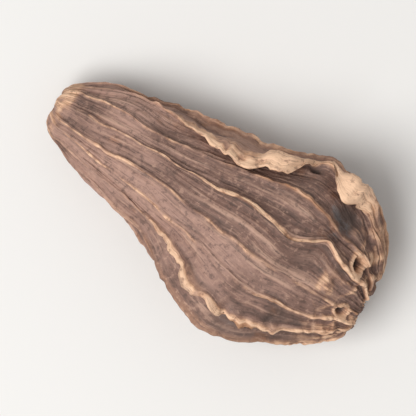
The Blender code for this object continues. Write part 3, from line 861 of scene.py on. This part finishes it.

# The skin: brown to pale brown by its tone, streaked along the fibres, speckled, and dusty where it lies low. It
# has painted shade in the fibres' grooves, along the feet of the worn crests, where it lies low and in the pits
# and hollows.
TONE_SHARE = 0.16
shade = math_node("ADD", product(attribute("tone"), TONE_SHARE), blotches)
dust = product(
    between(height_here, -0.12, -0.40), between(blotches, 0.50, 0.60), between(mottle, 0.40, 0.60)
)
colour = layered(
    mixed(between(shade, 0.30, 0.78), BROWN, PALE_BROWN),
    (between(broad_fibres, 0.45, 0.72), 0.45, PALE_BROWN),
    (between(spots, 0.64, 0.76), 0.50, RUST),
    (between(streak, 0.08, 0.19), 0.75, PALE_TAN),
    # Painted shade in the grooves between the fibres.
    (between(streak, 0.02, -0.09), 0.50, DARK),
    # Painted shade below each worn crest.
    (attribute("painted_crest_shade"), 0.45, DARK),
    (between(fine_fibres, 0.48, 0.30), 0.60, DARK),
    (between(fine_fibres, 0.54, 0.70), 0.50, PALE_TAN),
    (between(mottle, 0.46, 0.36), 0.45, DARK),
    (between(mottle, 0.54, 0.66), 0.45, PALE_TAN),
    # Painted shade where the skin lies low.
    (between(height_here, -0.25, -0.75), 0.80, DARK),
    (dust, 0.55, GREY_DUST),
    # Painted shade in the pits and hollows, on the lower flank and along the lower rib's upper foot.
    (attribute("painted_shade"), 0.85, DARK),
)

# Where it is worn: tan to cream, paler the more it is worn, with rust and brown left in its dips.
MIDDLE_MOTTLE, MIDDLE_WEAR, WEAR_SHARE = 0.5, 0.75, 0.5
worn_shade = product(math_node("SUBTRACT", crest_mask, MIDDLE_WEAR), WEAR_SHARE)
tan_shade = math_node("ADD", fine_fibres, math_node("SUBTRACT", mottle, MIDDLE_MOTTLE))
tan_shade = math_node("ADD", tan_shade, worn_shade)
tan_colour = layered(
    mixed(between(tan_shade, 0.32, 0.64), TAN, CREAM),
    (between(streak, 0.03, -0.05), 0.75, RUST),
    (between(tan_shade, 0.36, 0.14), 0.60, RUST),
    (between(mottle, 0.44, 0.34), 0.50, BROWN),
)
HIGH_SKIN_WEAR = 0.35
high_skin = product(between(height_here, 0.25, 0.70), HIGH_SKIN_WEAR)
worn = math_node("ADD", high_skin, between(crest_mask, 0.02, 0.75), clamp=True)
colour = layered(colour, (product(worn, between(fine_fibres, 0.20, 0.52)), 0.97, tan_colour))

# Dull skin, a little smoother where the fibres are dark, with a faint tooth finer than the mesh.
ROUGHNESS = (("From Min", 0.3), ("From Max", 0.7), ("To Min", 0.62), ("To Max", 0.86))
FIBRE_TOOTH, MOTTLE_TOOTH = 0.9, 0.7
TOOTH_STRENGTH, TOOTH_HEIGHT = 0.9, 0.00016
roughness = node("ShaderNodeMapRange")
feed(roughness.inputs["Value"], fine_fibres)
for name, value in ROUGHNESS:
    feed(roughness.inputs[name], value)
bump = node("ShaderNodeBump")
feed(bump.inputs["Strength"], TOOTH_STRENGTH)
feed(bump.inputs["Distance"], TOOTH_HEIGHT)
feed(bump.inputs["Height"], math_node("ADD", product(fine_fibres, FIBRE_TOOTH), product(mottle, MOTTLE_TOOTH)))

shader = node("ShaderNodeBsdfPrincipled")
feed(shader.inputs["Base Color"], colour)
feed(shader.inputs["Roughness"], roughness.outputs["Result"])
feed(shader.inputs["Normal"], bump.outputs["Normal"])
surface = node("ShaderNodeOutputMaterial")
feed(surface.inputs["Surface"], shader.outputs["BSDF"])
mesh.materials.append(material)

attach(husk, "root")
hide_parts("pod")

# The table. A wide sheet of plain off-white card under the pod.
FLOOR_SIZE = 3.0
FLOOR_GAP = 0.00002
FLOOR_COLOUR = (0.78, 0.77, 0.75, 1.0)
FLOOR_ROUGHNESS = 0.8
floor_mesh = bpy.data.meshes.new("table_top")
sheet = bmesh.new()
bmesh.ops.create_grid(sheet, x_segments=1, y_segments=1, size=FLOOR_SIZE / 2)
sheet.to_mesh(floor_mesh)
sheet.free()
floor = bpy.data.objects.new("table_top", floor_mesh)
floor.location.z = -FLOOR_GAP
bpy.context.scene.collection.objects.link(floor)
card = bpy.data.materials.new("pale_card")
card.use_nodes = True
card_shader = card.node_tree.nodes["Principled BSDF"]
card_shader.inputs["Base Color"].default_value = FLOOR_COLOUR
card_shader.inputs["Roughness"].default_value = FLOOR_ROUGHNESS
floor_mesh.materials.append(card)

# The light. One soft window, low and to the left as the camera sees it, and the pale room all round.
WINDOW_PLACE = (-0.12, -0.19, 0.45)
WINDOW_SIZE = 0.30
WINDOW_POWER = 2.2
ROOM_COLOUR = (1.0, 0.99, 0.98, 1.0)
ROOM_LIGHT = 0.45
window = bpy.data.lights.new("window", "AREA")
window.energy = WINDOW_POWER
window.size = WINDOW_SIZE
window_light = bpy.data.objects.new("window", window)
window_light.location = WINDOW_PLACE
window_light.rotation_euler = (-Vector(WINDOW_PLACE)).to_track_quat("-Z", "Y").to_euler()
bpy.context.scene.collection.objects.link(window_light)
room = bpy.data.worlds.new("room")
room.use_nodes = True
room.node_tree.nodes["Background"].inputs["Color"].default_value = ROOM_COLOUR
room.node_tree.nodes["Background"].inputs["Strength"].default_value = ROOM_LIGHT
bpy.context.scene.world = room
bpy.context.scene.view_settings.view_transform = "Standard"

# The camera. It looks straight down, as the photograph does, turned so that the pod's narrow end is up and to the
# left and its long axis slopes down to the right by the angle that it has there.
CAMERA_HEIGHT = 0.42
POD_MIDDLE = 0.0075
POD_SLOPE = math.radians(31)
FRAME_WIDTH = 0.0395
SENSOR_WIDTH = 36.0
NEAREST = 0.01
camera_data = bpy.data.cameras.new("camera")
camera_data.sensor_width = SENSOR_WIDTH
camera_data.lens = SENSOR_WIDTH * CAMERA_HEIGHT / FRAME_WIDTH
camera_data.clip_start = NEAREST
camera = bpy.data.objects.new("camera", camera_data)
camera.location = (0.0, 0.0, POD_MIDDLE + CAMERA_HEIGHT)
camera.rotation_euler = (0.0, 0.0, POD_SLOPE)
bpy.context.scene.collection.objects.link(camera)
bpy.context.scene.camera = camera
